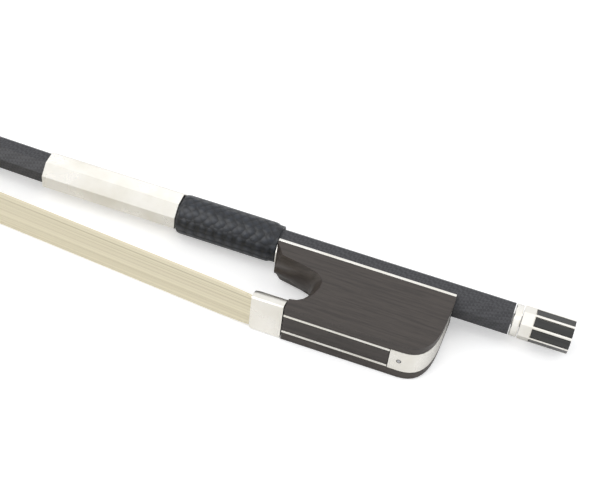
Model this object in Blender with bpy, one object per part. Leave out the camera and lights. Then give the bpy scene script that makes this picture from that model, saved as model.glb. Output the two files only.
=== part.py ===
"""Viola bow, lying on its side with the frog end at +X.

Lengths are in metres. The origin is the middle of the button's end face. +X runs along the stick's
axis and out of the button, -Y points from the stick to the hair, and +Z is the side that faces up.
"""

import math

import bmesh
import bpy
from mathutils import Matrix, Vector

mm = 0.001

# Clearances
seat_gap = 0.3 * mm
inlay_gap = 0.2 * mm

# Stick
stick_width = 8.6 * mm
stick_width_at_head = 5.4 * mm
stick_stations = 34
bend_start_curvature = 0.00036 / mm

# Button
button_length = 16.1 * mm
button_width = 8.6 * mm
button_turn = math.radians(27)
ring_length = 2.0 * mm
ring_diameter = 8.9 * mm
collar_length = 3.1 * mm
panel_width = 2.4 * mm
panel_thickness = 0.8 * mm

# Screw and its nut
screw_diameter = 3.0 * mm
screw_length = 60.0 * mm
screw_in_button = 10.5 * mm
sleeve_length = 14.0 * mm
sleeve_wall = 0.4 * mm
eyelet_length = 5.0 * mm
eyelet_width = 4.8 * mm
eyelet_stem_diameter = 3.2 * mm
eyelet_stem_length = 10.0 * mm
eyelet_from_rear = 22.0 * mm
frog_travel = 5.95 * mm
mortise_front_room = 6.0 * mm

# Frog
frog_from_button = 15.9 * mm
frog_length = 49.9 * mm
frog_base_depth = 25.8 * mm
frog_width_at_stick = 9.2 * mm
frog_width_at_base = 12.8 * mm
liner_thickness = 0.4 * mm
nose_depth = 9.7 * mm
nose_slope = 1.4 * mm
throat_from_nose = 13.2 * mm
throat_reach = 4.8 * mm
throat_top_depth = 10.4 * mm
throat_middle_depth = 13.6 * mm
throat_floor_depth = 19.8 * mm
throat_flare = 2.5 * mm
throat_top_flare = 1.3 * mm
heel_rise = 12.8 * mm
heel_run = 8.4 * mm

# Ferrule and wedge
ferrule_length = 8.8 * mm
ferrule_setback = 0.4 * mm
ferrule_width = 12.9 * mm
ferrule_height = 6.1 * mm
ferrule_wall = 0.4 * mm
ferrule_edge = 0.2 * mm
wedge_thickness = 1.1 * mm
wedge_length = 4.8 * mm

# Slide, rails and heel plate
slide_width = 5.2 * mm
slide_foot_width = 8.4 * mm
slide_face_depth = 1.3 * mm
slide_foot_depth = 1.2 * mm
rail_width = 0.8 * mm
rail_depth = 0.9 * mm
heel_plate_width = 7.5 * mm
heel_plate_thickness = 0.6 * mm
heel_plate_run = 11.3 * mm
heel_plate_top_depth = 6.0 * mm
pin_diameter = 1.0 * mm
pin_length = 3.5 * mm
liner_screw_diameter = 1.4 * mm
liner_screw_length = 3.8 * mm

# Hair
hair_length = 640.0 * mm
hair_slope = 0.088
hair_width = 12.3 * mm
hair_mouth_width = 11.4 * mm
hair_width_at_head = 9.2 * mm
hair_thickness = 0.8 * mm
hair_full_width_length = 120.0 * mm
hair_mortise_length = 11.0 * mm
hair_mortise_width = 8.0 * mm
hair_mortise_height = 6.0 * mm
knot_diameter = 2.6 * mm

# Head
head_length = 26.5 * mm
head_axis_height = 18.5 * mm
head_base_width = 10.4 * mm
tip_plate_thickness = 0.8 * mm
tip_liner_thickness = 0.6 * mm
beak_length = 1.8 * mm
beak_start = 12.0 * mm
beak_curvature = 0.016 / mm
head_mortise_start = 4.7 * mm
head_mortise_length = 7.8 * mm
head_mortise_width = 6.2 * mm
head_mortise_height = 6.6 * mm

# Winding and thumb leather
leather_length = 28.7 * mm
leather_width = 11.0 * mm
leather_tail_length = 1.0 * mm
leather_tail_width = 10.2 * mm
leather_edge = 1.4 * mm
winding_length = 39.2 * mm
winding_loops = 24
winding_wire = 0.6 * mm
points_per_loop = 24

# Places that follow from the sizes
butt_x = -button_length - seat_gap
frog_rear_x = -button_length - frog_from_button
frog_nose_x = frog_rear_x - frog_length
ferrule_front_x = frog_nose_x + ferrule_setback
ferrule_rear_x = ferrule_front_x + ferrule_length
shoulder_x = ferrule_rear_x + seat_gap
base_y = -frog_base_depth
heel_plate_front_x = frog_rear_x - heel_plate_run
slide_rear_x = heel_plate_front_x - inlay_gap
eyelet_x = frog_rear_x - eyelet_from_rear
leather_end_x = frog_nose_x - seat_gap
leather_start_x = leather_end_x - leather_length
winding_end_x = leather_start_x - seat_gap
hair_mortise_front_x = shoulder_x + 9.2 * mm
hair_mortise_rear_x = hair_mortise_front_x + hair_mortise_length
slide_foot_top_y = base_y + slide_face_depth + slide_foot_depth
hair_mortise_top_y = slide_foot_top_y + hair_mortise_height
hair_angle = math.atan(hair_slope)
hair_mouth_y = base_y + ferrule_wall + inlay_gap + hair_thickness / 2
plate_face_v = hair_thickness / 2 + seat_gap
liner_face_v = plate_face_v + tip_plate_thickness + inlay_gap
head_base_v = liner_face_v + tip_liner_thickness + inlay_gap
tan_eighth = math.tan(math.pi / 8)

toward_tip = Vector((-math.cos(hair_angle), math.sin(hair_angle), 0))
off_hair = Vector((math.sin(hair_angle), math.cos(hair_angle), 0))
head_origin = Vector((ferrule_front_x, hair_mouth_y, 0)) + toward_tip * hair_length


# Scene, materials and meshes

def clear_scene():
    for item in list(bpy.data.objects):
        bpy.data.objects.remove(item)


def material(name, colour, roughness, metallic=0.0):
    made = bpy.data.materials.new(name)
    made.use_nodes = True
    shader = made.node_tree.nodes["Principled BSDF"]
    shader.inputs["Base Color"].default_value = (*colour, 1)
    shader.inputs["Roughness"].default_value = roughness
    shader.inputs["Metallic"].default_value = metallic
    return made


def add_object(name, mesh, finish):
    mesh.materials.append(finish)
    made = bpy.data.objects.new(name, mesh)
    bpy.context.collection.objects.link(made)
    return made


def mesh_of(name, points, faces, smooth_angle=None):
    """A closed mesh with its faces pointing out."""
    work = bmesh.new()
    corners = [work.verts.new(p) for p in points]
    for face in faces:
        work.faces.new([corners[i] for i in face])
    bmesh.ops.triangulate(work, faces=[face for face in work.faces if len(face.verts) == 4])
    bmesh.ops.recalc_face_normals(work, faces=work.faces)
    mesh = bpy.data.meshes.new(name)
    work.to_mesh(mesh)
    work.free()
    if smooth_angle is not None:
        mesh.shade_smooth()
        mesh.set_sharp_from_angle(angle=smooth_angle)
    return mesh


def ring_faces(count, rings, closed_ends=True):
    """Quads between rings of count points each, with the two end faces if asked."""
    faces = []
    for r in range(rings - 1):
        for i in range(count):
            j = (i + 1) % count
            faces.append([r * count + i, r * count + j, (r + 1) * count + j, (r + 1) * count + i])
    if closed_ends:
        faces.append(list(range(count))[::-1])
        faces.append([(rings - 1) * count + i for i in range(count)])
    return faces


def loft(name, rings, smooth_angle=None):
    points = [p for ring in rings for p in ring]
    return mesh_of(name, points, ring_faces(len(rings[0]), len(rings)), smooth_angle)


def pipe(name, outer, inner, smooth_angle=None):
    """A hollow loft: outer and inner are rings of the same count, joined at both ends."""
    count = len(outer[0])
    loop = outer + inner[::-1]
    points = [p for ring in loop for p in ring]
    faces = ring_faces(count, len(loop), closed_ends=False)
    last = (len(loop) - 1) * count
    for i in range(count):
        j = (i + 1) % count
        faces.append([last + i, last + j, j, i])
    return mesh_of(name, points, faces, smooth_angle)


def slab(name, outline, low, high, axis="Z"):
    """The outline's flat polygon carried from low to high along an axis."""
    def point(pair, along):
        if axis == "X":
            return Vector((along, pair[0], pair[1]))
        return Vector((pair[0], pair[1], along))
    rings = [[point(pair, low) for pair in outline], [point(pair, high) for pair in outline]]
    return loft(name, rings)


def box_mesh(name, low, high):
    outline = [(low[0], low[1]), (high[0], low[1]), (high[0], high[1]), (low[0], high[1])]
    return slab(name, outline, low[2], high[2])


def rod_rings(start, end, radii, sides):
    """Rings of a turned rod. radii holds (share of the length, radius) pairs."""
    along = end - start
    turn = along.to_track_quat("Z", "Y")
    rings = []
    for share, radius in radii:
        middle = start + along * share
        ring = []
        for i in range(sides):
            angle = 2 * math.pi * (i + 0.5) / sides
            ring.append(middle + turn @ Vector((radius * math.cos(angle), radius * math.sin(angle), 0)))
        rings.append(ring)
    return rings


def rod_mesh(name, start, end, radii, sides, smooth_angle=math.radians(35)):
    return loft(name, rod_rings(Vector(start), Vector(end), radii, sides), smooth_angle)


def plain_rod(name, start, end, diameter, sides=12):
    return rod_mesh(name, start, end, [(0, diameter / 2), (1, diameter / 2)], sides)


def cutter(mesh):
    made = bpy.data.objects.new(mesh.name, mesh)
    bpy.context.collection.objects.link(made)
    made.hide_render = True
    made.display_type = "WIRE"
    return made


def combine(target, meshes, operation="DIFFERENCE"):
    for mesh in meshes:
        change = target.modifiers.new(mesh.name, "BOOLEAN")
        change.operation = operation
        change.solver = "EXACT"
        change.object = cutter(mesh)


# Stick

def octagon(width, turn=0.0, corner_share=0.0):
    """(y, z) corners of an octagon by its width across flats; a corner_share above 0 doubles them."""
    radius = width / 2 / math.cos(math.pi / 8)
    pairs = []
    for i in range(8):
        angle = math.pi / 8 + i * math.pi / 4 + turn
        if corner_share == 0:
            pairs.append((radius * math.cos(angle), radius * math.sin(angle)))
            continue
        before = (radius * math.cos(angle - math.pi / 4), radius * math.sin(angle - math.pi / 4))
        after = (radius * math.cos(angle + math.pi / 4), radius * math.sin(angle + math.pi / 4))
        here = (radius * math.cos(angle), radius * math.sin(angle))
        for other in (before, after):
            pairs.append(tuple(h + (o - h) * corner_share for h, o in zip(here, other)))
    return pairs


def bend_coefficients():
    """Square and cube terms that lift the stick's axis to its height over the hair at the head."""
    reach = hair_length
    square = bend_start_curvature / 2
    rise = hair_mouth_y + hair_slope * reach + head_axis_height
    return square, (rise - square * reach ** 2) / reach ** 3


def axis_y(x):
    """Height of the stick's axis. It is straight from the button to the frog's nose."""
    reach = max(0.0, frog_nose_x - x)
    square, cube = bend_coefficients()
    return square * reach ** 2 + cube * reach ** 3


def axis_tilt(x):
    """How far the stick's cross-sections lean, growing from none at the nose to the hair's angle."""
    share = min(1.0, max(0.0, (frog_nose_x - x) / (hair_length / 2)))
    return hair_angle * share


def width_at(x):
    share = min(1.0, max(0.0, (frog_nose_x - x) / hair_length))
    return stick_width + (stick_width_at_head - stick_width) * share


def stick_ring(x, width):
    """Twelve points: the octagon's corners and two more on each side facet."""
    tilt = axis_tilt(x)
    up = Vector((math.sin(tilt), math.cos(tilt), 0))
    middle = Vector((x, axis_y(x), 0))
    half = width / 2
    edge = half * tan_eighth
    side = [(half, edge), (edge, half), (edge / 3, half), (-edge / 3, half), (-edge, half), (-half, edge)]
    pairs = side + [(v, -w) for v, w in side[::-1]]
    return [middle + up * v + Vector((0, 0, w)) for v, w in pairs]


def head_point(u, v, w=0.0):
    """A point of the head: u toward the tip along the hair, v away from the hair, w to the side."""
    return head_origin + toward_tip * u + off_hair * v + Vector((0, 0, w))


def beak_lift(u):
    """The plate curves away from the hair toward the beak."""
    return beak_curvature / 2 * max(0.0, u - beak_start) ** 2


def head_ring(u, top, base, ridge, shoulder, waist, foot):
    """One slice of the head, with half widths at ridge, shoulder, waist and foot."""
    height = top - base
    side = [
        (top, ridge),
        (top - min(height * 0.12, 1.6 * mm), shoulder),
        (base + height * 0.62, (shoulder + waist) / 2),
        (base + height * 0.3, waist),
        (base + min(height * 0.1, 0.6 * mm), foot),
        (base, foot),
    ]
    pairs = side + [(v, -w) for v, w in side[::-1]]
    return [head_point(u, v, w) for v, w in pairs]


def head_slices():
    """Slices from the back of the head to the beak, in mm where they are written."""
    high = head_axis_height / mm + 2.7
    base = head_base_v / mm
    foot = head_base_width / 2 / mm
    half = stick_width_at_head / mm / 2
    end = head_length / mm
    rows = [
        (-6.0, high - 0.3, 14.9, 1.1, half, half, 2.0),
        (-3.2, high - 0.2, 13.0, 1.1, half, half + 0.1, 2.6),
        (-1.4, high - 0.1, 10.4, 1.0, half, half + 0.3, 3.2),
        (-0.5, high, 7.0, 1.0, half + 0.1, half + 0.6, 3.9),
        (0.2, high, base, 1.0, half + 0.2, half + 1.0, foot - 0.6),
        (4.0, high - 0.1, base, 0.9, half + 0.2, half + 1.2, foot),
        (7.0, high - 0.8, base, 0.8, half + 0.1, half + 1.2, foot),
        (10.0, high - 2.8, base, 0.7, half - 0.1, half + 1.1, foot - 0.2),
        (13.0, high - 6.0, base, 0.6, half - 0.3, half + 0.9, foot - 0.6),
        (16.0, high - 9.6, base, 0.5, half - 0.5, half + 0.4, foot - 1.2),
        (19.0, high - 12.8, base, 0.4, half - 0.9, half - 0.2, foot - 2.0),
        (22.0, high - 15.4, base, 0.3, half - 1.4, half - 1.0, foot - 2.9),
        (end - 1.0, high - 17.0, base, 0.3, half - 1.9, half - 1.6, foot - 3.8),
    ]
    slices = []
    for u, top, low, ridge, shoulder, waist, below in rows:
        lift = beak_lift(u * mm)
        sizes = [ridge * mm, shoulder * mm, waist * mm, below * mm]
        slices.append(head_ring(u * mm, top * mm + lift, low * mm + lift, *sizes))
    return slices


def build_stick(finish):
    neck_x = head_point(-14 * mm, 0).x
    rings = [stick_ring(butt_x, stick_width), stick_ring(frog_nose_x, stick_width)]
    for i in range(1, stick_stations + 1):
        x = frog_nose_x + (neck_x - frog_nose_x) * i / stick_stations
        rings.append(stick_ring(x, width_at(x)))
    stick = add_object("stick", loft("stick", rings + head_slices()), finish)
    bore = screw_diameter + 2 * seat_gap
    sleeve_bore = bore + 2 * sleeve_wall + 2 * seat_gap
    bore_end = screw_tip_x() - seat_gap
    sleeve_end = butt_x - sleeve_length - seat_gap
    half = eyelet_width / 2 + seat_gap
    rear = eyelet_x + eyelet_length / 2 + frog_travel + seat_gap
    front = eyelet_x - eyelet_length / 2 - mortise_front_room
    head_half = head_mortise_width / 2
    head_cut = [
        head_point(head_mortise_start, 0),
        head_point(head_mortise_start + head_mortise_length, 0),
        head_point(head_mortise_start + head_mortise_length, head_base_v + head_mortise_height),
        head_point(head_mortise_start, head_base_v + head_mortise_height),
    ]
    cuts = [
        plain_rod("cut_screw_bore", (bore_end, 0, 0), (0, 0, 0), bore, 24),
        plain_rod("cut_sleeve_bore", (sleeve_end, 0, 0), (0, 0, 0), sleeve_bore, 24),
        box_mesh("cut_eyelet_mortise", (front, -stick_width, -half), (rear, half, half)),
        slab("cut_head_mortise", [(p.x, p.y) for p in head_cut], -head_half, head_half),
    ]
    combine(stick, cuts)
    return stick


# Button and screw

def screw_tip_x():
    return -button_length + screw_in_button - screw_length - screw_in_button


def build_button(silver, inlay):
    bore = screw_diameter + 2 * seat_gap
    start = -button_length
    ring = rod_rings(
        Vector((start, 0, 0)), Vector((start + ring_length, 0, 0)),
        [(0, ring_diameter / 2 - ferrule_edge), (0.12, ring_diameter / 2), (0.88, ring_diameter / 2),
         (1, ring_diameter / 2 - ferrule_edge)], 32)
    hole = rod_rings(
        Vector((start, 0, 0)), Vector((start + ring_length, 0, 0)), [(0, bore / 2), (1, bore / 2)], 32)
    add_object("button_ring", pipe("button_ring", ring, hole, math.radians(30)), silver)

    collar_x = start + ring_length + seat_gap
    solid = slab("button_shell", octagon(button_width, button_turn), collar_x, 0, "X")
    shell = add_object("button_shell", solid, silver)
    panel_x = collar_x + collar_length
    recess = panel_thickness + inlay_gap
    bore_end = start + screw_in_button + seat_gap
    cuts = [plain_rod("cut_button_bore", (start - bore, 0, 0), (bore_end, 0, 0), bore, 24)]
    for i in range(8):
        turn = Matrix.Rotation(button_turn + i * math.pi / 4, 4, "X")
        half = panel_width / 2
        low = (panel_x + inlay_gap, button_width / 2 - panel_thickness, -half)
        panel = box_mesh(f"button_panel_{i + 1}", low, (0, button_width / 2, half))
        panel.transform(turn)
        add_object(f"button_panel_{i + 1}", panel, inlay)
        half += inlay_gap
        room = box_mesh(f"cut_panel_{i + 1}", (panel_x, button_width / 2 - recess, -half),
                        (button_width, button_width, half))
        room.transform(turn)
        cuts.append(room)
    combine(shell, cuts)


def build_screw(steel, brass):
    front = screw_tip_x()
    rear = -button_length + screw_in_button
    radius = screw_diameter / 2
    add_object("screw", rod_mesh("screw", (front, 0, 0), (rear, 0, 0),
                                 [(0, radius * 0.6), (0.03, radius), (1, radius)], 16), steel)
    bore = screw_diameter / 2 + seat_gap
    start = Vector((butt_x, 0, 0))
    end = Vector((butt_x - sleeve_length, 0, 0))
    outer = rod_rings(start, end, [(0, bore + sleeve_wall), (1, bore + sleeve_wall)], 24)
    inner = rod_rings(start, end, [(0, bore), (1, bore)], 24)
    add_object("screw_sleeve", pipe("screw_sleeve", outer, inner, math.radians(30)), brass)


def build_eyelet(brass):
    half = eyelet_width / 2
    block = box_mesh("eyelet", (eyelet_x - eyelet_length / 2, -half, -half),
                     (eyelet_x + eyelet_length / 2, half, half))
    eyelet = add_object("eyelet", block, brass)
    stem_end = (eyelet_x, -half - eyelet_stem_length, 0)
    stem = plain_rod("join_eyelet_stem", stem_end, (eyelet_x, -half * 0.9, 0), eyelet_stem_diameter, 16)
    combine(eyelet, [stem], "UNION")
    bore = plain_rod("cut_eyelet_bore", (eyelet_x - eyelet_length, 0, 0), (eyelet_x + eyelet_length, 0, 0),
                     screw_diameter + 2 * seat_gap, 24)
    combine(eyelet, [bore])


# Frog

def side_half_width(y):
    """Half the frog's width, growing evenly from the stick to the base."""
    top = -stick_width / 2 * tan_eighth
    share = (top - y) / (top - base_y)
    return (frog_width_at_stick + (frog_width_at_base - frog_width_at_stick) * share) / 2


def channel_section(gap, top_half, lift=0.0):
    """(y, z) of the three facets under the stick, a gap away from them, out to top_half."""
    near = stick_width / 2 + gap
    return [
        (top_half - near * math.sqrt(2) + lift, top_half),
        (-near, near * tan_eighth),
        (-near, -near * tan_eighth),
        (top_half - near * math.sqrt(2) + lift, -top_half),
    ]


def heel_path(steps=10):
    """(x, y) from the base, round the heel and up the rear face, as one smooth curve."""
    start = Vector((frog_rear_x - heel_run, base_y))
    end = Vector((frog_rear_x - 0.1 * mm, base_y + heel_rise))
    pull_low = Vector((frog_rear_x - 2.4 * mm, base_y))
    pull_high = Vector((frog_rear_x - 0.4 * mm, base_y + heel_rise * 0.34))
    pairs = []
    for i in range(steps + 1):
        t = i / steps
        s = 1 - t
        pairs.append(s ** 3 * start + 3 * s * s * t * pull_low + 3 * s * t * t * pull_high + t ** 3 * end)
    return pairs


def throat_rows(steps=9):
    """(middle, rim) pairs round the thumb throat, from under the nose to the floor."""
    centre_x = frog_nose_x + throat_from_nose - throat_reach
    rows = []
    for i in range(steps + 1):
        angle = math.pi / 2 - math.pi * i / steps
        across, up = math.cos(angle), math.sin(angle)
        height, flare = (throat_floor_depth - throat_middle_depth, throat_flare)
        if up > 0:
            height, flare = (throat_middle_depth - throat_top_depth, throat_top_flare)
        middle = Vector((centre_x + throat_reach * across, -throat_middle_depth + height * up))
        spread = throat_flare * math.sqrt(max(across, 0.0))
        rim = middle + Vector((spread, flare * up))
        rows.append((middle, rim))
    return rows


def frog_outline():
    """Rows of (middle, rim, half width at the rim) round the frog, and the marks that its cheeks use."""
    x, front = frog_nose_x, -nose_depth
    rows = []

    def add(middle, rim=None, half=None):
        rim = middle if rim is None else rim
        rows.append((middle, rim, side_half_width(rim.y) if half is None else half))

    add(Vector((x, 0)))
    add(Vector((x, -3.4 * mm)))
    add(Vector((x + 0.4 * nose_slope, -6.0 * mm)), Vector((x + 0.65 * mm, -6.0 * mm)), 3.0 * mm)
    add(Vector((x + nose_slope, front)), Vector((x + nose_slope + 0.2 * mm, front + 1.4 * mm)), 2.1 * mm)
    add(Vector((x + 5.2 * mm, front - 0.5 * mm)), Vector((x + 5.2 * mm, front + 1.2 * mm)), 2.8 * mm)
    for i, (middle, rim) in enumerate(throat_rows()):
        half = side_half_width(rim.y)
        add(middle, rim, half - (1.0, 0.5)[i] * mm if i < 2 else half)
    floor = rows[-1][0].y
    rim_floor = rows[-1][1].y
    add(Vector((shoulder_x, floor)), Vector((shoulder_x, rim_floor)))
    rows.pop(-2)
    add(Vector((shoulder_x, base_y)))
    for point in heel_path():
        add(point)
    add(Vector((frog_rear_x + 0.2 * mm, -4.5 * mm)))
    add(Vector((frog_rear_x, 0)))
    return rows


def frog_mesh():
    """The frog's block in layers across its width, with a hollowed cheek beside the nose."""
    rows = frog_outline()
    count = len(rows)
    layers = (-1.0, -0.75, -0.45, 0.0, 0.45, 0.75, 1.0)
    points = []
    for t in layers:
        for middle, rim, half in rows:
            at = middle + (rim - middle) * t * t
            points.append(Vector((at.x, at.y, half * t)))
    faces = ring_faces(count, len(layers), closed_ends=False)
    cheek = [Vector((frog_nose_x + 2.8 * mm, -7.6 * mm)), Vector((frog_nose_x + 9.6 * mm, -8.9 * mm))]
    for layer, sign in ((0, -1), (len(layers) - 1, 1)):
        first = layer * count
        marks = [len(points), len(points) + 1]
        for mark in cheek:
            points.append(Vector((mark.x, mark.y, sign * side_half_width(mark.y))))
        faces.append([first + 1, first + 2, marks[0]])
        faces.append([first + 2, first + 3, marks[0]])
        faces.append([first + 3, first + 4, marks[0]])
        faces.append([first + 4, first + 5, marks[1], marks[0]])
        faces.append([first + 5, first + 6, marks[1]])
        faces.append([first + 6, first + 7, marks[1]])
        side = [first + 7 + i for i in range(count - 7)] + [first, first + 1, marks[0], marks[1]]
        faces.append(side)
    return mesh_of("frog_body", points, faces)


def d_section(half, height, steps=12, corner=0.3 * mm, floor=None):
    """(y, z) of a D lying on its flat, which is at floor or at the frog's base."""
    floor = base_y if floor is None else floor
    pairs = [(floor, half - corner)]
    for i in range(steps + 1):
        angle = math.pi * i / steps
        y = max(height * math.sin(angle), corner)
        pairs.append((floor + y, half * math.cos(angle)))
    pairs.append((floor, corner - half))
    return pairs


def ring_at(x, pairs):
    return [Vector((x, y, z)) for y, z in pairs]


def tongue_mesh():
    """The block that the ferrule slips over: a half ellipse cut flat above the wedge."""
    inset = ferrule_wall + seat_gap
    half = ferrule_width / 2 - inset
    height = ferrule_height - inset - ferrule_wall
    floor = base_y + ferrule_wall
    first = math.asin((wedge_top_y() + inlay_gap - floor) / height)
    section = []
    for i in range(13):
        angle = first + (math.pi - 2 * first) * i / 12
        section.append((floor + height * math.sin(angle), half * math.cos(angle)))
    ends = (ferrule_front_x + inset, shoulder_x + 2 * mm)
    return loft("join_tongue", [ring_at(x, section) for x in ends])


def wedge_top_y():
    return hair_mouth_y + hair_thickness / 2 + inlay_gap + wedge_thickness


def heel_band(name, outer_grow, depth, half, front_x, top_y):
    """A band that follows the heel, from outer_grow outside the frog's face to depth inside it."""
    path = [Vector((front_x, base_y))] + heel_path() + [Vector((frog_rear_x + 0.1 * mm, top_y))]
    outside, inside = [], []
    for i, here in enumerate(path):
        before = path[max(i - 1, 0)]
        after = path[min(i + 1, len(path) - 1)]
        along = (after - before).normalized()
        out = Vector((along.y, -along.x))
        outside.append(here + out * outer_grow)
        inside.append(here - out * depth)
    outline = [(p.x, p.y) for p in outside + inside[::-1]]
    return slab(name, outline, -half, half)


def pin_places():
    """(outer end, inward direction) of the three pins that hold the heel plate."""
    base = Vector((heel_plate_front_x + 2.7 * mm, base_y, 0))
    places = [(base, Vector((0, 1, 0)))]
    for depth in (heel_plate_top_depth + 2.4 * mm, heel_plate_top_depth + 6.2 * mm):
        places.append((Vector((frog_rear_x - 0.1 * mm, -depth, 0)), Vector((-1, 0, 0))))
    return places


def liner_screw_places():
    return (frog_nose_x + 4.2 * mm, frog_rear_x - 5.2 * mm)


def build_frog(ebony):
    frog = add_object("frog_body", frog_mesh(), ebony)
    combine(frog, [tongue_mesh()], "UNION")
    liner_back = stick_width / 2 + seat_gap + liner_thickness + seat_gap
    wide = stick_width
    channel = channel_section(liner_back - stick_width / 2, wide)
    channel += [(stick_width, -wide), (stick_width, wide)]
    stem = eyelet_stem_diameter + 2 * seat_gap
    stem_end = -eyelet_width / 2 - eyelet_stem_length - seat_gap
    groove_half = slide_width / 2 + inlay_gap + rail_width + inlay_gap
    foot_half = slide_foot_width / 2 + seat_gap
    foot_low = base_y + slide_face_depth - seat_gap
    trough_half = hair_path_rows()[4][2] / 2 + seat_gap
    trough_front = shoulder_x - 3 * mm
    mortise_half = hair_mortise_width / 2
    plate_half = heel_plate_width / 2 + inlay_gap
    cuts = [
        slab("cut_channel", channel, frog_nose_x - 5 * mm, frog_rear_x + 5 * mm, "X"),
        plain_rod("cut_eyelet_hole", (eyelet_x, stem_end, 0), (eyelet_x, 0, 0), stem, 20),
        box_mesh("cut_slide_groove", (trough_front, base_y - 2 * mm, -groove_half),
                 (heel_plate_front_x, foot_low + 0.2 * mm, groove_half)),
        box_mesh("cut_slide_foot", (trough_front, foot_low, -foot_half),
                 (slide_rear_x + seat_gap, slide_foot_top_y + seat_gap, foot_half)),
        box_mesh("cut_hair_trough", (trough_front - 0.5 * mm, slide_foot_top_y, -trough_half),
                 (hair_mortise_front_x + 1 * mm, trough_top_y(), trough_half)),
        box_mesh("cut_hair_mortise", (hair_mortise_front_x, slide_foot_top_y - 0.1 * mm, -mortise_half),
                 (hair_mortise_rear_x, hair_mortise_top_y, mortise_half)),
        heel_band("cut_heel_plate", 1.5 * mm, heel_plate_thickness + inlay_gap, plate_half,
                  slide_rear_x, -heel_plate_top_depth + inlay_gap),
    ]
    for i, (end, inward) in enumerate(pin_places()):
        deep = end + inward * (pin_length + seat_gap)
        cuts.append(plain_rod(f"cut_heel_pin_{i + 1}", end, deep, pin_diameter + 2 * inlay_gap, 12))
    for i, x in enumerate(liner_screw_places()):
        deep = -liner_back - liner_screw_length
        cuts.append(plain_rod(f"cut_liner_screw_{i + 1}", (x, deep, 0), (x, 0, 0),
                              liner_screw_diameter + 2 * inlay_gap, 12))
    combine(frog, cuts)


def build_liner(silver, steel):
    """The silver liner between the frog and the stick, and its two screws."""
    top_half = frog_width_at_stick / 2
    inner = channel_section(seat_gap, top_half)
    outer = channel_section(seat_gap + liner_thickness, top_half)
    solid = slab("frog_liner", inner + outer[::-1], frog_nose_x, frog_rear_x, "X")
    liner = add_object("frog_liner", solid, silver)
    cuts = [plain_rod("cut_liner_eyelet", (eyelet_x, -stick_width, 0), (eyelet_x, 0, 0),
                      eyelet_stem_diameter + 2 * seat_gap, 20)]
    for i, x in enumerate(liner_screw_places()):
        top = -stick_width / 2 - seat_gap
        name = f"liner_screw_{i + 1}"
        tip = (x, top - liner_screw_length, 0)
        add_object(name, plain_rod(name, tip, (x, top, 0), liner_screw_diameter), steel)
        cuts.append(plain_rod(f"cut_liner_{i + 1}", (x, -stick_width, 0), (x, 0, 0),
                              liner_screw_diameter + 2 * inlay_gap))
    combine(liner, cuts)


def build_ferrule(silver, wood):
    half, height = ferrule_width / 2, ferrule_height
    full = d_section(half, height)
    edge = d_section(half - ferrule_edge, height - 2 * ferrule_edge, floor=base_y + ferrule_edge)
    inside = d_section(half - ferrule_wall, height - 2 * ferrule_wall, floor=base_y + ferrule_wall)
    stations = (ferrule_front_x, ferrule_front_x + 1 * mm, ferrule_rear_x)
    outer = [ring_at(x, section) for x, section in zip(stations, (edge, full, full))]
    inner = [ring_at(x, inside) for x in stations]
    add_object("ferrule", pipe("ferrule", outer, inner, math.radians(30)), silver)

    front = ferrule_front_x + ferrule_wall
    rear = front + wedge_length
    half = ferrule_width / 2 - ferrule_wall - 1.2 * mm
    top = wedge_top_y()
    low, thin = top - wedge_thickness, top - wedge_thickness * 0.45
    outline = [(front, low), (rear, thin), (rear, top), (front, top)]
    add_object("spread_wedge", slab("spread_wedge", outline, -half, half), wood)


def build_slide(ebony, silver):
    front = shoulder_x
    half = slide_width / 2
    foot = slide_foot_width / 2
    face_top = base_y + slide_face_depth
    section = [(base_y, half), (face_top, half), (face_top, foot), (slide_foot_top_y, foot)]
    section += [(y, -z) for y, z in section[::-1]]
    add_object("slide", slab("slide", section, front, slide_rear_x, "X"), ebony)
    for name, side in (("slide_rail_near", 1), ("slide_rail_far", -1)):
        ends = sorted((side * (half + inlay_gap), side * (half + inlay_gap + rail_width)))
        rail = box_mesh(name, (front, base_y, ends[0]), (slide_rear_x, base_y + rail_depth, ends[1]))
        add_object(name, rail, silver)


def build_heel_plate(silver, steel):
    top_y = -heel_plate_top_depth
    plate = add_object("heel_plate", heel_band("heel_plate", 0, heel_plate_thickness, heel_plate_width / 2,
                                               heel_plate_front_x, top_y), silver)
    cuts = []
    for i, (end, inward) in enumerate(pin_places()):
        name = f"heel_pin_{i + 1}"
        add_object(name, plain_rod(name, end, end + inward * pin_length, pin_diameter, 10), steel)
        cuts.append(plain_rod(f"cut_plate_pin_{i + 1}", end - inward * mm, end + inward * 2 * mm,
                              pin_diameter + 2 * inlay_gap, 12))
    combine(plate, cuts)


# Hair, knots and plugs

def trough_top_y():
    return slide_foot_top_y + inlay_gap + hair_thickness + seat_gap


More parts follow.
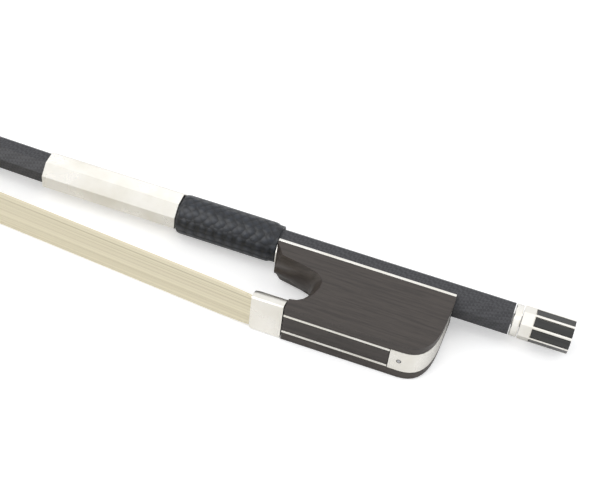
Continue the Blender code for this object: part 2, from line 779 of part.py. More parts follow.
def hair_path_rows():
    """(place, side-view direction, width, thickness) from the knot in the frog to the knot in the head."""
    lane = slide_foot_top_y + inlay_gap + hair_thickness / 2
    thin = hair_thickness * 0.85
    places = [
        (Vector((hair_mortise_front_x + 0.9 * mm, lane + 1.8 * mm)), 7.2 * mm, thin),
        (Vector((hair_mortise_front_x + 0.75 * mm, lane + 0.8 * mm)), 7.4 * mm, thin),
        (Vector((hair_mortise_front_x + 0.1 * mm, lane + 0.05 * mm)), 7.7 * mm, thin),
        (Vector((shoulder_x + 0.4 * mm, lane - 0.05 * mm)), 8.2 * mm, thin),
        (Vector((shoulder_x - 2.2 * mm, (lane + hair_mouth_y) / 2)), 8.6 * mm, thin),
        (Vector((ferrule_front_x + 3.4 * mm, hair_mouth_y + 0.2 * mm)), 10.8 * mm, hair_thickness),
        (Vector((ferrule_front_x, hair_mouth_y)), hair_mouth_width, hair_thickness),
    ]
    start = Vector((ferrule_front_x, hair_mouth_y))
    direction = Vector((toward_tip.x, toward_tip.y))
    full = hair_full_width_length
    for reach in (5 * mm, full, hair_length * 0.4, hair_length * 0.7, hair_length - 24 * mm):
        share = max(0.0, (reach - full) / (hair_length - full))
        width = hair_width + (hair_width_at_head - hair_width) * share
        places.append((start + direction * reach, width, hair_thickness))
    head_rows = [(0.0, 0.0, 1.2), (4.4, 0.0, 0.2), (5.5, 0.7, 0.0), (6.0, 2.0, 0.0), (6.1, 4.2, 0.0)]
    for u, v, extra in head_rows:
        at = head_point(u * mm, v * mm)
        width = head_mortise_width - 1.0 * mm + extra * mm
        places.append((Vector((at.x, at.y)), width, hair_thickness * 0.75))
    return places_with_direction(places)


def places_with_direction(places):
    rows = []
    for i, (at, width, thickness) in enumerate(places):
        before = places[max(i - 1, 0)][0]
        after = places[min(i + 1, len(places) - 1)][0]
        rows.append((at, (after - before).normalized(), width, thickness))
    return rows


def build_hair(hair, wood, thread):
    rings = []
    for at, along, width, thickness in hair_path_rows():
        out = Vector((along.y, -along.x)) * thickness / 2
        half = width / 2
        corners = [(at + out, half), (at + out, -half), (at - out, -half), (at - out, half)]
        rings.append([Vector((p.x, p.y, z)) for p, z in corners])
    add_object("hair_ribbon", loft("hair_ribbon", rings), hair)

    end = hair_path_rows()[0][0]
    half = hair_mortise_width / 2 - seat_gap
    radius = knot_diameter / 2
    knot_y = end.y + seat_gap + radius
    knot_x = hair_mortise_front_x + seat_gap + radius
    knot = rod_mesh("hair_knot_frog", (knot_x, knot_y, -half), (knot_x, knot_y, half),
                    [(0, radius * 0.7), (0.12, radius), (0.88, radius), (1, radius * 0.7)], 14)
    add_object("hair_knot_frog", knot, thread)
    plug_front = knot_x + radius + seat_gap
    low = (plug_front, slide_foot_top_y + seat_gap + inlay_gap, -half)
    high = (hair_mortise_rear_x - inlay_gap, hair_mortise_top_y - seat_gap, half)
    add_object("plug_frog", box_mesh("plug_frog", low, high), wood)

    half = head_mortise_width / 2 - seat_gap
    centre = head_point(6.4 * mm, 4.2 * mm + seat_gap + radius)
    side = Vector((0, 0, half))
    knot = rod_mesh("hair_knot_head", centre - side, centre + side,
                    [(0, radius * 0.7), (0.12, radius), (0.88, radius), (1, radius * 0.7)], 14)
    add_object("hair_knot_head", knot, thread)
    behind_hair = 6.1 * mm + hair_thickness / 2 + seat_gap
    behind_knot = 6.4 * mm + radius + seat_gap
    under_knot = 4.2 * mm - seat_gap
    stop = head_mortise_start + head_mortise_length - seat_gap
    high = head_base_v + head_mortise_height - seat_gap
    corners = [head_point(behind_hair, plate_face_v), head_point(stop, plate_face_v),
               head_point(stop, high), head_point(behind_knot, high),
               head_point(behind_knot, under_knot), head_point(behind_hair, under_knot)]
    add_object("plug_head", slab("plug_head", [(p.x, p.y) for p in corners], -half, half), wood)


# Tip plate and its liner

def plate_rings(face_v, thickness, length, spare=0.0):
    """Rings along the head's underside: four corners each, narrowing to the beak."""
    shares = [(0.0, 0.9), (0.08, 1.0), (0.3, 1.0), (0.45, 0.94)]
    shares += [(0.6, 0.8), (0.75, 0.6), (0.88, 0.4), (1.0, 0.14)]
    rings = []
    for share, width in shares:
        u = length * share
        half = head_base_width / 2 * width - spare
        low, high = face_v + beak_lift(u), face_v + thickness + beak_lift(u)
        rings.append([head_point(u, low, half), head_point(u, high, half),
                      head_point(u, high, -half), head_point(u, low, -half)])
    return rings


def build_tip_plate(silver, ebony):
    slot_start = head_mortise_start - 0.1 * mm
    slot_end = head_mortise_start + head_mortise_length
    half = head_mortise_width / 2
    for name, face, thick, length, finish in (
        ("tip_plate", plate_face_v, tip_plate_thickness, head_length + beak_length, silver),
        ("tip_liner", liner_face_v, tip_liner_thickness, head_length, ebony),
    ):
        made = add_object(name, loft(name, plate_rings(face, thick, length)), finish)
        corners = [head_point(slot_start, -mm), head_point(slot_end, -mm),
                   head_point(slot_end, head_base_v), head_point(slot_start, head_base_v)]
        combine(made, [slab(f"cut_{name}", [(p.x, p.y) for p in corners], -half, half)])


# Winding and thumb leather

def build_leather(leather):
    start, end = leather_start_x, leather_end_x
    tail_x = end - leather_tail_length
    stations = [
        (start, leather_width - 0.9 * mm),
        (start + 0.7 * mm, leather_width),
        (tail_x - leather_edge, leather_width),
        (tail_x, leather_tail_width),
        (end, leather_tail_width),
    ]
    outer, inner = [], []
    for x, width in stations:
        middle = axis_y(x)
        outer.append([Vector((x, y + middle, z)) for y, z in octagon(width, corner_share=0.16)])
        bore = width_at(x) + 2 * seat_gap
        inner.append([Vector((x, y + middle, z)) for y, z in octagon(bore, corner_share=0.02)])
    add_object("thumb_leather", pipe("thumb_leather", outer, inner, math.radians(25)), leather)


def winding_points():
    """The wire's centre line: over the octagon's corners and facets, then straight at each end."""
    pitch = winding_length / (winding_loops + 1)
    first_x = winding_end_x - winding_wire
    points = []
    for i in range(winding_loops * points_per_loop + 1):
        angle = math.pi / 8 + 2 * math.pi * i / points_per_loop
        x = first_x - pitch * i / points_per_loop - winding_wire
        from_facet = (angle + math.pi / 8) % (math.pi / 4) - math.pi / 8
        flat = width_at(x) / 2 + seat_gap + winding_wire / 2
        radius = flat / math.cos(from_facet)
        points.append(Vector((x, axis_y(x) + radius * math.cos(angle), radius * math.sin(angle))))
    lead_in = points[0] + Vector((1.6 * winding_wire, 0, 0))
    lead_out = points[-1] - Vector((1.6 * winding_wire, 0, 0))
    return [lead_in] + points + [lead_out]


def least_gap(points, loop, diameter):
    """The least distance between the wire's surfaces one loop apart."""
    body = points[1:-1]
    nearest = min(
        (body[i] - body[j]).length
        for i in range(len(body) - loop)
        for j in range(i + loop - 3, min(i + loop + 4, len(body)))
    )
    return nearest - diameter


def build_winding(silver):
    points = winding_points()
    curve = bpy.data.curves.new("winding", "CURVE")
    curve.dimensions = "3D"
    curve.bevel_depth = winding_wire / 2
    curve.bevel_resolution = 1
    curve.use_fill_caps = True
    line = curve.splines.new("POLY")
    line.points.add(len(points) - 1)
    for held, point in zip(line.points, points):
        held.co = (*point, 1)
    add_object("winding", curve, silver)
    gap = least_gap(points, points_per_loop, winding_wire)
    print(f"winding: {winding_loops} loops, least gap to itself {gap / mm:.2f} mm")


def main():
    clear_scene()
    carbon = material("carbon_fibre", (0.06, 0.06, 0.065), 0.45)
    silver = material("silver", (0.86, 0.83, 0.76), 0.22, 1.0)
    ebony = material("ebony", (0.10, 0.083, 0.07), 0.4)
    slide_ebony = material("slide_ebony", (0.12, 0.115, 0.11), 0.35)
    inlay = material("black_inlay", (0.03, 0.03, 0.028), 0.3)
    brass = material("brass", (0.75, 0.58, 0.28), 0.35, 1.0)
    steel = material("steel", (0.56, 0.56, 0.57), 0.3, 1.0)
    leather = material("black_leather", (0.025, 0.03, 0.038), 0.5)
    hair = material("horsehair", (0.82, 0.77, 0.6), 0.5)
    wood = material("maple", (0.62, 0.45, 0.27), 0.6)
    thread = material("bound_hair", (0.45, 0.38, 0.28), 0.7)

    build_stick(carbon)
    build_button(silver, inlay)
    build_screw(steel, brass)
    build_eyelet(brass)
    build_frog(ebony)
    build_liner(silver, steel)
    build_ferrule(silver, wood)
    build_slide(slide_ebony, silver)
    build_heel_plate(silver, steel)
    build_hair(hair, wood, thread)
    build_tip_plate(silver, ebony)
    build_leather(leather)
    build_winding(silver)


main()
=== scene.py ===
"""Dresses the viola bow: procedural materials, a fine winding, embossed leather and a ribbon of hair."""

import math

import bpy
from bpy.props import FloatProperty, FloatVectorProperty, IntProperty, PointerProperty
from mathutils import Matrix, Vector, noise


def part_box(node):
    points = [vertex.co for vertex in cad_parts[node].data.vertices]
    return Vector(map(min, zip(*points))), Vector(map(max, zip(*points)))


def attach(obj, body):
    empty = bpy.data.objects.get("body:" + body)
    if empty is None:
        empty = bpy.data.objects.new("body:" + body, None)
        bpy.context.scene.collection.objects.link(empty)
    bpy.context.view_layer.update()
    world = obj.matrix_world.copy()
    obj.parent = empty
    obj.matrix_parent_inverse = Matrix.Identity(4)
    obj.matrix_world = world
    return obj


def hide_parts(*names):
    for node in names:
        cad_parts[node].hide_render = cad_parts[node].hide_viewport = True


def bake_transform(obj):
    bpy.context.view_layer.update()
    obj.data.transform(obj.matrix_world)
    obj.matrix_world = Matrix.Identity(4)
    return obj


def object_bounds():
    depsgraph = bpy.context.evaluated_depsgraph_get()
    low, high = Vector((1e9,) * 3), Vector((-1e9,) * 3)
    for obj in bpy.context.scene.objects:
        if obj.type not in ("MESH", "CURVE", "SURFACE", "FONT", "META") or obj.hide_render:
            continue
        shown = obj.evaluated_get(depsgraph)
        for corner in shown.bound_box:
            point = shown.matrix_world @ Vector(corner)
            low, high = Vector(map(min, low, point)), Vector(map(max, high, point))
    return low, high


bl_info = {
    "name": "Viola bow dresser",
    "version": (1, 0, 0),
    "blender": (4, 5, 0),
    "location": "View3D > Sidebar > Bow",
    "description": "Gives a viola bow its finishes, winding, leather and hair",
    "category": "Object",
}

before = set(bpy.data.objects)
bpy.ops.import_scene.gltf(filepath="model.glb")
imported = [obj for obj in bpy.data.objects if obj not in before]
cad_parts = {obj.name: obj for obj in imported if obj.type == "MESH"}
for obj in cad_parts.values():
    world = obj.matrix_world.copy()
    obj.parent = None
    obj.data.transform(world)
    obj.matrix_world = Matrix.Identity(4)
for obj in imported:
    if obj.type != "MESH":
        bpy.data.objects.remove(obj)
cad_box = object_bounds()
mm = 0.001

leather_low, leather_high = (Vector(p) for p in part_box("thumb_leather"))
winding_low, winding_high = (Vector(p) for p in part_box("winding"))
ferrule_low = Vector(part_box("ferrule")[0])
eighth_turn = math.radians(45)
half_facet = math.pi / 8

# Winding: radius of the wire as a share of one turn's length, a little over half so that the turns touch
wire_share = 0.56

# Thumb leather: thickness, rounding of its edges, and how it narrows at both ends
leather_thickness = 0.7 * mm
leather_round = 1.5 * mm
leather_lip = 1.4 * mm
leather_tail = leather_high.x - leather_lip
leather_widths = [
    (leather_low.x, 0.9),
    (leather_low.x + 0.4 * mm, 0.97),
    (leather_low.x + 1.1 * mm, 1.0),
    (leather_tail - 1.5 * mm, 1.0),
    (leather_tail - 0.6 * mm, 0.985),
    (leather_tail, 0.93),
    (leather_high.x, 0.925),
]

# Hair: it leaves the ferrule, climbs toward the head and turns into the head's mortise
hair_angle = math.atan(0.088)
toward_tip = Vector((-math.cos(hair_angle), math.sin(hair_angle), 0))
off_hair = Vector((math.sin(hair_angle), math.cos(hair_angle), 0))
ferrule_mouth = Vector((ferrule_low.x, ferrule_low.y + 1.0 * mm, 0))
hair_thickness = 0.7 * mm
hair_start = -4 * mm
hair_length = 640 * mm
hair_turn_at = hair_length + 4.3 * mm
hair_turn_radius = 1.3 * mm
hair_end = hair_turn_at + 5.5 * mm
hair_widths = [
    (hair_start, 10.6 * mm),
    (0.0, 11.4 * mm),
    (5 * mm, 12.3 * mm),
    (120 * mm, 12.3 * mm),
    (616 * mm, 9.3 * mm),
    (639.5 * mm, 6.4 * mm),
    (hair_end, 5.3 * mm),
]
ridge_height = 0.022 * mm
wander_height = 0.05 * mm
crown_height = 0.06 * mm

# Stage: the floor, the light of the room, the lamps and the camera of the photograph
floor_gap = 0.2 * mm
floor_glow = 0.36
room_light = 0.55
room_glow = 0.45
lamp_size = 0.9
lamp_target = Vector((-0.05, 0, 0))
lamps = [
    ("key_lamp", Vector((-0.55, -0.35, 0.75)), 4.2),
    ("fill_lamp", Vector((0.55, 0.25, 0.65)), 2.2),
]
camera_place = Vector((-0.01914, -0.25426, 0.28905))
camera_right = Vector((0.9424, 0.3206, 0.0956))
camera_back = Vector((0.1475, -0.6547, 0.7413))
camera_lens = 85.63


def colour_property(label, about, value):
    return FloatVectorProperty(
        name=label, description=about, default=value, subtype="COLOR", size=3, min=0, max=1)


def length_property(label, about, value):
    return FloatProperty(name=label, description=about, default=value, unit="LENGTH", precision=5)


class BowStickFinish(bpy.types.PropertyGroup):
    carbon: colour_property("Carbon", "Dark tows of the weave", (0.022, 0.022, 0.025))
    carbon_light: colour_property("Light tows", "Bright tows of the weave", (0.052, 0.052, 0.057))
    weave: length_property("Weave", "Width of one tow", 0.7 * mm)


class BowFrogFinish(bpy.types.PropertyGroup):
    ebony: colour_property("Ebony", "Main colour of the frog", (0.056, 0.045, 0.038))
    ebony_dark: colour_property("Dark grain", "Colour of the grain lines", (0.032, 0.025, 0.021))
    inlay: colour_property("Inlay", "Colour of the button's panels", (0.026, 0.026, 0.024))


class BowSilverFinish(bpy.types.PropertyGroup):
    silver: colour_property("Silver", "Colour of all silver pieces", (0.95, 0.925, 0.865))
    tarnish: colour_property("Tarnish", "Colour of the dull patches", (0.86, 0.83, 0.75))
    turns: IntProperty(name="Turns", description="Turns of the winding's wire", default=132, min=24, max=200)


class BowGripFinish(bpy.types.PropertyGroup):
    leather: colour_property("Leather", "Raised scales of the leather", (0.016, 0.019, 0.026))
    scale_pitch: length_property("Scale pitch", "Distance between the rows of scales", 1.93 * mm)


class BowHairFinish(bpy.types.PropertyGroup):
    hair: colour_property("Hair", "Main colour of the hair", (0.80, 0.73, 0.54))
    hair_dark: colour_property("Hair shade", "Colour between the strands", (0.50, 0.42, 0.26))
    strands: IntProperty(name="Strands", description="Ridges across the ribbon", default=56, min=8, max=120)


# Node helpers

def new_material(name):
    made = bpy.data.materials.new(name)
    made.use_nodes = True
    return made, made.node_tree, made.node_tree.nodes["Principled BSDF"]


def link(tree, source, target):
    tree.links.new(source, target)


def place(tree, scale=(1, 1, 1), turn=(0, 0, 0)):
    coordinates = tree.nodes.new("ShaderNodeTexCoord")
    mapping = tree.nodes.new("ShaderNodeMapping")
    mapping.inputs["Scale"].default_value = scale
    mapping.inputs["Rotation"].default_value = turn
    link(tree, coordinates.outputs["Object"], mapping.inputs["Vector"])
    return mapping.outputs["Vector"]


def noise_of(tree, vector, scale, detail=3.0):
    made = tree.nodes.new("ShaderNodeTexNoise")
    made.inputs["Scale"].default_value = scale
    made.inputs["Detail"].default_value = detail
    link(tree, vector, made.inputs["Vector"])
    return made.outputs["Fac"]


def ramp_of(tree, value, stops):
    made = tree.nodes.new("ShaderNodeValToRGB")
    held = made.color_ramp.elements
    while len(held) < len(stops):
        held.new(0.5)
    for element, (at, colour) in zip(held, stops):
        element.position = at
        element.color = (*colour, 1)
    link(tree, value, made.inputs["Fac"])
    return made.outputs["Color"]


def math_of(tree, operation, first, second):
    made = tree.nodes.new("ShaderNodeMath")
    made.operation = operation
    for socket, value in zip(made.inputs, (first, second)):
        if isinstance(value, (int, float)):
            socket.default_value = value
        else:
            link(tree, value, socket)
    return made.outputs["Value"]


def mix_of(tree, first, share, second):
    part = math_of(tree, "MULTIPLY", first, share)
    rest = math_of(tree, "MULTIPLY", second, 1 - share)
    return math_of(tree, "ADD", part, rest)


def shade_of(colour, by):
    return tuple(channel * by for channel in colour)


def roughness_of(tree, shader, value, low, high):
    made = tree.nodes.new("ShaderNodeMapRange")
    made.inputs["To Min"].default_value = low
    made.inputs["To Max"].default_value = high
    link(tree, value, made.inputs["Value"])
    link(tree, made.outputs["Result"], shader.inputs["Roughness"])


def bump_of(tree, shader, height, distance, strength=1.0):
    made = tree.nodes.new("ShaderNodeBump")
    made.inputs["Distance"].default_value = distance
    made.inputs["Strength"].default_value = strength
    link(tree, height, made.inputs["Height"])
    link(tree, made.outputs["Normal"], shader.inputs["Normal"])


# Finishes

def carbon_finish(held):
    """Woven tows under a clear coat."""
    made, tree, shader = new_material("carbon_fibre_weave")
    checker = tree.nodes.new("ShaderNodeTexChecker")
    checker.inputs["Scale"].default_value = 1 / held.weave
    link(tree, place(tree, turn=(0.4, 0.3, eighth_turn)), checker.inputs["Vector"])
    mottle = noise_of(tree, place(tree, (1, 3, 3)), 900)
    mixed = mix_of(tree, checker.outputs["Fac"], 0.35, mottle)
    tows = ramp_of(tree, mixed, [(0.25, held.carbon), (0.75, held.carbon_light)])
    link(tree, tows, shader.inputs["Base Color"])
    roughness_of(tree, shader, mottle, 0.42, 0.58)
    bump_of(tree, shader, mixed, 0.02 * mm, 0.4)
    shader.inputs["Coat Weight"].default_value = 0.12
    shader.inputs["Coat Roughness"].default_value = 0.25
    return made


def silver_finish(held, name="worn_silver", grain=(40, 900, 900)):
    """Silver with fine brushing and dull patches."""
    made, tree, shader = new_material(name)
    patches = noise_of(tree, place(tree), 120, 3)
    brushed = noise_of(tree, place(tree, grain), 1.0, 2)
    worn = ramp_of(tree, patches, [(0.3, held.tarnish), (0.6, held.silver)])
    link(tree, worn, shader.inputs["Base Color"])
    roughness_of(tree, shader, patches, 0.34, 0.22)
    bump_of(tree, shader, brushed, 0.01 * mm, 0.5)
    shader.inputs["Metallic"].default_value = 1.0
    return made


def ebony_finish(held, name="ebony_grain", lift=1.0):
    """Dark wood with long grain and pores along X."""
    made, tree, shader = new_material(name)
    grain = noise_of(tree, place(tree, (90, 1500, 900)), 1.0, 6)
    pores = noise_of(tree, place(tree, (500, 5200, 3800)), 1.0, 2)
    mixed = mix_of(tree, grain, 0.7, pores)
    light = shade_of(held.ebony, lift)
    dark = shade_of(held.ebony_dark, lift)
    link(tree, ramp_of(tree, mixed, [(0.36, dark), (0.58, light)]), shader.inputs["Base Color"])
    roughness_of(tree, shader, pores, 0.3, 0.5)
    bump_of(tree, shader, pores, 0.03 * mm, 0.5)
    return made


def gloss_inlay_finish(held):
    """Polished dark panels, faintly clouded."""
    made, tree, shader = new_material("button_inlay")
    cloud = noise_of(tree, place(tree, (60, 700, 700)), 1.0, 3)
    light = shade_of(held.inlay, 1.8)
    link(tree, ramp_of(tree, cloud, [(0.35, held.inlay), (0.7, light)]), shader.inputs["Base Color"])
    roughness_of(tree, shader, cloud, 0.16, 0.3)
    return made


def metal_finish(name, colour, roughness):
    """Plain metal with dull specks."""
    made, tree, shader = new_material(name)
    cloud = noise_of(tree, place(tree), 700, 3)
    dull = shade_of(colour, 0.75)
    link(tree, ramp_of(tree, cloud, [(0.4, dull), (0.6, colour)]), shader.inputs["Base Color"])
    roughness_of(tree, shader, cloud, roughness + 0.15, roughness)
    shader.inputs["Metallic"].default_value = 1.0
    return made


def maple_finish():
    """Pale wood of the wedge and the plugs."""
    made, tree, shader = new_material("maple_wood")
    grain = noise_of(tree, place(tree, (200, 1800, 1800)), 1.0, 4)
    wood = ramp_of(tree, grain, [(0.35, (0.45, 0.3, 0.17)), (0.65, (0.66, 0.5, 0.31))])
    link(tree, wood, shader.inputs["Base Color"])
    roughness_of(tree, shader, grain, 0.5, 0.7)
    bump_of(tree, shader, grain, 0.02 * mm)
    return made


def leather_finish(held):
    """Rows of embossed scales round the grip, with painted highlight on the raised scales and painted shade
    in the grooves between them.
    """
    made, tree, shader = new_material("embossed_leather")
    cells = tree.nodes.new("ShaderNodeTexVoronoi")
    cells.feature = "F1"
    cells.inputs["Scale"].default_value = 1 / held.scale_pitch
    cells.inputs["Randomness"].default_value = 0.28
    link(tree, place(tree, turn=(0, 0, eighth_turn)), cells.inputs["Vector"])
    grain = noise_of(tree, place(tree), 3500, 3)
    raised = math_of(tree, "SUBTRACT", 1.0, cells.outputs["Distance"])
    height = math_of(tree, "ADD", raised, math_of(tree, "MULTIPLY", grain, 0.12))
    # Painted shade in the grooves and painted highlight on the raised scale tops: the colour ramp follows
    # the height of the scales.
    low = shade_of(held.leather, 0.35)
    high = shade_of(held.leather, 1.5)
    scales = ramp_of(tree, raised, [(0.35, low), (0.62, held.leather), (0.9, high)])
    link(tree, scales, shader.inputs["Base Color"])
    roughness_of(tree, shader, grain, 0.26, 0.42)
    bump_of(tree, shader, height, 0.4 * mm, 1.0)
    return made


def hair_finish(held):
    """Pale strands along the ribbon, streaked across it."""
    made, tree, shader = new_material("horsehair_strands")
    fine = noise_of(tree, place(tree, (6, 6, 7000)), 1.0, 3)
    broad = noise_of(tree, place(tree, (3, 3, 900)), 1.0, 2)
    mixed = mix_of(tree, fine, 0.6, broad)
    pale = tuple(min(1.0, channel * 1.1 + 0.03) for channel in held.hair)
    streaks = ramp_of(tree, mixed, [(0.34, held.hair_dark), (0.5, held.hair), (0.68, pale)])
    link(tree, streaks, shader.inputs["Base Color"])
    roughness_of(tree, shader, fine, 0.4, 0.65)
    bump_of(tree, shader, mixed, 0.12 * mm, 0.8)
    return made


def give(finish, *nodes):
    """Gives CAD nodes that are shown as they are their finish."""
    for name in nodes:
        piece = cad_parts[name]
        piece.data.materials.clear()
        piece.data.materials.append(finish)


# Modelling helpers

def start_piece():
    """Leaves edit mode and deselects everything."""
    if bpy.context.object and bpy.context.object.mode != "OBJECT":
        bpy.ops.object.mode_set(mode="OBJECT")
    bpy.ops.object.select_all(action="DESELECT")


def finish_piece(name, finish, angle=math.radians(35)):
    """Names the active piece, settles its place in its mesh and gives it its finish."""
    piece = bpy.context.object
    piece.name = name
    piece.data.name = name
    bpy.ops.object.transform_apply(location=True, rotation=True, scale=True)
    bpy.ops.object.shade_smooth_by_angle(angle=angle)
    piece.data.materials.clear()
    piece.data.materials.append(finish)
    return piece


def apply_modifier(piece, kind, **values):
    change = piece.modifiers.new(kind.title(), kind)
    for key, value in values.items():
        setattr(change, key, value)
    bpy.ops.object.modifier_apply(modifier=change.name)


def smooth_copy(node, name, finish, body, angle=math.radians(32)):
    """Stands in for a CAD node with its own shape, its curved faces shaded as one."""
    start_piece()
    piece = bpy.data.objects.new(name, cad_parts[node].data.copy())
    bpy.context.collection.objects.link(piece)
    bpy.context.view_layer.objects.active = piece
    piece.select_set(True)
    bpy.ops.object.mode_set(mode="EDIT")
    bpy.ops.mesh.select_all(action="SELECT")
    bpy.ops.mesh.remove_doubles(threshold=0.001 * mm)
    bpy.ops.mesh.customdata_custom_splitnormals_clear()
    bpy.ops.object.mode_set(mode="OBJECT")
    finish_piece(name, finish, angle)
    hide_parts(node)
    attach(piece, body)
    return piece


def value_at(table, place_on):
    """Reads a table of places and values, straight between its rows."""
    for (start, low), (stop, high) in zip(table, table[1:]):
        if place_on <= stop:
            return low + (high - low) * (place_on - start) / (stop - start)
    return table[-1][1]


class BOW_OT_stick(bpy.types.Operator):
    """Finish the stick, its sleeve and its bored parts"""
    bl_idname = "bow.stick"
    bl_label = "Stick"

    def execute(self, context):
        carbon = carbon_finish(context.scene.bow_stick)
        smooth_copy("stick", "stick_and_head", carbon, "stick")
        give(metal_finish("brass", (0.75, 0.58, 0.28), 0.3), "screw_sleeve", "eyelet")
        give(metal_finish("steel", (0.56, 0.56, 0.57), 0.22), "screw", "heel_pin_1", "heel_pin_2",
             "heel_pin_3", "liner_screw_1", "liner_screw_2")
        return {"FINISHED"}


class BOW_OT_frog(bpy.types.Operator):
    """Finish the frog, its slide and the wood inside it"""
    bl_idname = "bow.frog"
    bl_label = "Frog"

    def execute(self, context):
        held = context.scene.bow_frog
        smooth_copy("frog_body", "frog_block", ebony_finish(held), "frog")
        give(ebony_finish(held, "liner_ebony"), "tip_liner")
        give(ebony_finish(held, "slide_ebony", 0.85), "slide")
        give(maple_finish(), "spread_wedge", "plug_frog", "plug_head")
        give(gloss_inlay_finish(held), *[f"button_panel_{i}" for i in range(1, 9)])
        return {"FINISHED"}


class BOW_OT_silver(bpy.types.Operator):
    """Finish all the silver pieces"""
    bl_idname = "bow.silver"
    bl_label = "Silver"

    def execute(self, context):
        held = context.scene.bow_silver
        silver = silver_finish(held)
        smooth_copy("ferrule", "ferrule_shell", silver, "frog")
        smooth_copy("heel_plate", "heel_band", silver, "frog")
        give(silver, "frog_liner", "slide_rail_near", "slide_rail_far", "tip_plate")
        give(silver_finish(held, "button_silver", (900, 60, 60)), "button_ring", "button_shell")
        return {"FINISHED"}


class BOW_OT_winding(bpy.types.Operator):
    """Wind the silver wire side by side round the stick"""
    bl_idname = "bow.winding"
    bl_label = "Winding"

    def execute(self, context):
        held = context.scene.bow_silver
        length = winding_high.x - winding_low.x
        pitch = length / held.turns
        wire = pitch * wire_share
        reach = (winding_high.z - winding_low.z) / 2
        middle = (winding_low.y + winding_high.y) / 2
        start_piece()
        bpy.ops.mesh.primitive_torus_add(
            major_segments=8, minor_segments=6, major_radius=reach / math.cos(half_facet) - wire * 2,
            minor_radius=wire, location=(0, 0, 0), rotation=(0, 0, half_facet))
        bpy.ops.object.transform_apply(location=False, rotation=True, scale=False)
        piece = bpy.context.object
        piece.rotation_euler = (0, math.pi / 2, 0)
        bpy.ops.object.transform_apply(location=False, rotation=True, scale=False)
        apply_modifier(piece, "ARRAY", count=held.turns, use_relative_offset=False, use_constant_offset=True,
                       constant_offset_displace=(pitch, 0, 0))
        piece.location = (winding_low.x + pitch / 2, middle, 0)
        finish_piece("winding_wire", silver_finish(held, "winding_silver", (700, 90, 90)))
        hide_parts("winding")
        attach(piece, "stick")
        return {"FINISHED"}


class BOW_OT_leather(bpy.types.Operator):
    """Wrap the thumb leather round the stick"""
    bl_idname = "bow.leather"
    bl_label = "Thumb leather"

    def execute(self, context):
        length = leather_high.x - leather_low.x
        across = leather_high.z - leather_low.z
        radius = across / 2 / math.cos(half_facet)
        middle = (leather_low.y + leather_high.y) / 2
        start_piece()
        bpy.ops.mesh.primitive_cylinder_add(
            vertices=8, radius=radius, depth=length, end_fill_type="NOTHING",
            location=((leather_low.x + leather_high.x) / 2, middle, 0))
        piece = bpy.context.object
        lie_down = Matrix.Rotation(half_facet, 4, "X") @ Matrix.Rotation(math.pi / 2, 4, "Y")
        piece.matrix_world = Matrix.Translation(piece.location) @ lie_down
        bpy.ops.object.transform_apply(location=True, rotation=True, scale=True)
        apply_modifier(piece, "BEVEL", width=leather_round, segments=5, limit_method="ANGLE",
                       angle_limit=math.radians(20))
        bpy.ops.object.mode_set(mode="EDIT")
        for x, _ in leather_widths[1:-1]:
            bpy.ops.mesh.select_all(action="SELECT")
            bpy.ops.mesh.bisect(plane_co=(x, 0, 0), plane_no=(1, 0, 0))
        bpy.ops.object.mode_set(mode="OBJECT")
        for corner in piece.data.vertices:
            share = min(leather_widths, key=lambda row: abs(row[0] - corner.co.x))[1]
            corner.co.y = middle + (corner.co.y - middle) * share
            corner.co.z *= share
        apply_modifier(piece, "SOLIDIFY", thickness=leather_thickness, offset=-1)
        finish_piece("thumb_leather_wrap", leather_finish(context.scene.bow_grip))
        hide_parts("thumb_leather")
        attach(piece, "stick")
        return {"FINISHED"}


class BOW_OT_hair(bpy.types.Operator):
    """Lay the ribbon of hair from the ferrule to the head"""
    bl_idname = "bow.hair"
    bl_label = "Hair"

    def execute(self, context):
        held = context.scene.bow_hair
        start_piece()
        bpy.ops.mesh.primitive_grid_add(x_subdivisions=150, y_subdivisions=held.strands * 2, size=2)
        piece = bpy.context.object
        for corner in piece.data.vertices:
            share = (corner.co.x + 1) / 2
            reach = hair_start + (hair_end - hair_start) * (1 - (1 - share) ** 1.5)
            past = max(0.0, reach - hair_turn_at)
            arc = min(past / hair_turn_radius, math.pi / 2)
            along = min(reach, hair_turn_at) + hair_turn_radius * math.sin(arc)
            inward = (hair_turn_radius * (1 - math.cos(arc))
                      + max(0.0, past - hair_turn_radius * math.pi / 2))
            facing = off_hair * math.cos(arc) - toward_tip * math.sin(arc)
            across = corner.co.y * value_at(hair_widths, reach) / 2
            ridge = math.sin((corner.co.y + 1) * math.pi * held.strands) * ridge_height
            wander = noise.noise(Vector((reach * 30, corner.co.y * 14, 0))) * wander_height
            crown = crown_height * (1 - corner.co.y ** 2)
            at = ferrule_mouth + toward_tip * along + off_hair * inward + facing * (ridge + wander - crown)
            corner.co = at + Vector((0, 0, across))
        apply_modifier(piece, "SOLIDIFY", thickness=hair_thickness, offset=0)
        finish_piece("hair_strands", hair_finish(held), math.radians(60))
        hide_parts("hair_ribbon")
        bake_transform(piece)
        give(hair_finish(held), "hair_knot_frog", "hair_knot_head")
        return {"FINISHED"}


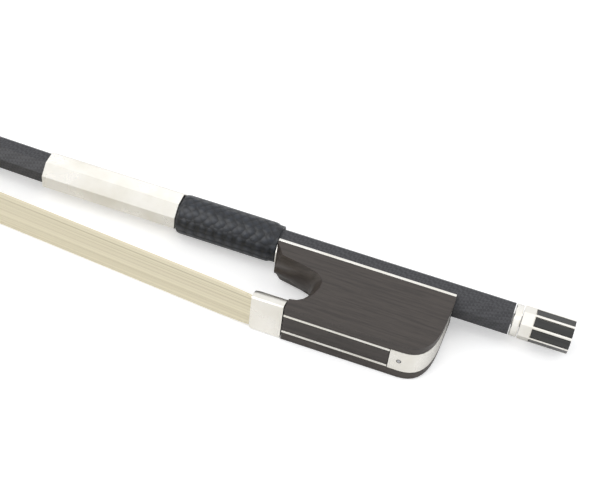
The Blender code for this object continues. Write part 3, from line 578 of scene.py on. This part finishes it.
class BOW_OT_stage(bpy.types.Operator):
    """Set the floor, the lamps and the camera"""
    bl_idname = "bow.stage"
    bl_label = "Stage"

    def execute(self, context):
        floor_z = cad_box[0][2] - floor_gap
        start_piece()
        bpy.ops.mesh.primitive_plane_add(size=6, location=(-0.35, 0, floor_z))
        floor = bpy.context.object
        floor.name = "floor"
        made, tree, shader = new_material("pale_floor")
        cloud = noise_of(tree, place(tree), 3.0, 2)
        pale = ramp_of(tree, cloud, [(0.3, (0.9, 0.9, 0.9)), (0.7, (0.93, 0.93, 0.93))])
        link(tree, pale, shader.inputs["Base Color"])
        shader.inputs["Roughness"].default_value = 0.8
        camera_ray = tree.nodes.new("ShaderNodeLightPath").outputs["Is Camera Ray"]
        shader.inputs["Emission Color"].default_value = (1, 1, 1, 1)
        link(tree, math_of(tree, "MULTIPLY", camera_ray, floor_glow), shader.inputs["Emission Strength"])
        floor.data.materials.append(made)

        world = context.scene.world or bpy.data.worlds.new("studio")
        context.scene.world = world
        world.use_nodes = True
        sky = world.node_tree
        sky.nodes["Background"].inputs["Color"].default_value = (0.97, 0.98, 1.0, 1)
        path = sky.nodes.new("ShaderNodeLightPath")
        seen = math_of(sky, "MAXIMUM", path.outputs["Is Camera Ray"], path.outputs["Is Glossy Ray"])
        strength = math_of(sky, "ADD", math_of(sky, "MULTIPLY", seen, room_glow), room_light)
        link(sky, strength, sky.nodes["Background"].inputs["Strength"])
        for name, where, power in lamps:
            bpy.ops.object.light_add(type="AREA", location=where)
            lamp = bpy.context.object
            lamp.name = name
            lamp.data.energy = power
            lamp.data.size = lamp_size
            lamp.rotation_euler = (lamp_target - where).to_track_quat("-Z", "Y").to_euler()

        back = camera_back.normalized()
        right = (camera_right - back * camera_right.dot(back)).normalized()
        up = back.cross(right)
        bpy.ops.object.camera_add()
        camera = bpy.context.object
        camera.data.sensor_width = 36
        camera.data.lens = camera_lens
        camera.data.clip_start = 0.01
        turn = Matrix((right, up, back)).transposed().to_4x4()
        camera.matrix_world = Matrix.Translation(camera_place) @ turn
        context.scene.camera = camera
        context.scene.view_settings.view_transform = "Standard"
        return {"FINISHED"}


class BOW_PT_panel(bpy.types.Panel):
    """Lists the bow's pieces"""
    bl_idname = "BOW_PT_panel"
    bl_label = "Viola bow"
    bl_space_type = "VIEW_3D"
    bl_region_type = "UI"
    bl_category = "Bow"

    def draw(self, context):
        for name in settings:
            group = getattr(context.scene, name)
            for key in group.__annotations__:
                self.layout.prop(group, key)
        for operator in operators:
            self.layout.operator(operator.bl_idname)


settings = {
    "bow_stick": BowStickFinish,
    "bow_frog": BowFrogFinish,
    "bow_silver": BowSilverFinish,
    "bow_grip": BowGripFinish,
    "bow_hair": BowHairFinish,
}
operators = (
    BOW_OT_stage,
    BOW_OT_stick,
    BOW_OT_frog,
    BOW_OT_silver,
    BOW_OT_winding,
    BOW_OT_leather,
    BOW_OT_hair,
)


def register():
    for group in settings.values():
        bpy.utils.register_class(group)
    for name, group in settings.items():
        setattr(bpy.types.Scene, name, PointerProperty(type=group))
    for operator in operators:
        bpy.utils.register_class(operator)
    bpy.utils.register_class(BOW_PT_panel)


def unregister():
    bpy.utils.unregister_class(BOW_PT_panel)
    for operator in reversed(operators):
        bpy.utils.unregister_class(operator)
    for name, group in settings.items():
        delattr(bpy.types.Scene, name)
        bpy.utils.unregister_class(group)


def main():
    register()
    bpy.ops.bow.stage()
    bpy.ops.bow.stick()
    bpy.ops.bow.frog()
    bpy.ops.bow.silver()
    bpy.ops.bow.winding()
    bpy.ops.bow.leather()
    bpy.ops.bow.hair()


if __name__ == "__main__":
    main()
